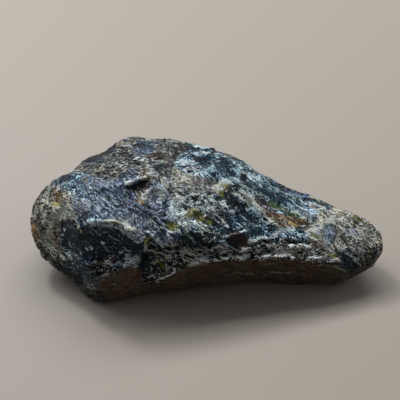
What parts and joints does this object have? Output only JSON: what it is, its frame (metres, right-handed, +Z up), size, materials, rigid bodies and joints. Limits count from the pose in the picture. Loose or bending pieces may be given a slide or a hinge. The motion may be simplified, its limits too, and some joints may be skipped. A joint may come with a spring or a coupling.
{
  "type": "raw amber",
  "caption": "Rough elongated lump of dark raw amber with a blunt thick end, a tapering thin end, chipped glassy faces and a small flat resting spot.",
  "frame": {"origin": "on the surface that the lump rests on, below the middle of its box", "axes": "+X along the lump towards its thin end, +Y towards its back, +Z up"},
  "size_m": [0.0908, 0.0422, 0.0273],
  "materials": {
    "amber": "glassy chipped amber under a rough matte crust"
  },
  "bodies": {
    "root": {"raw_amber": "amber"}
  },
  "joints": []
}
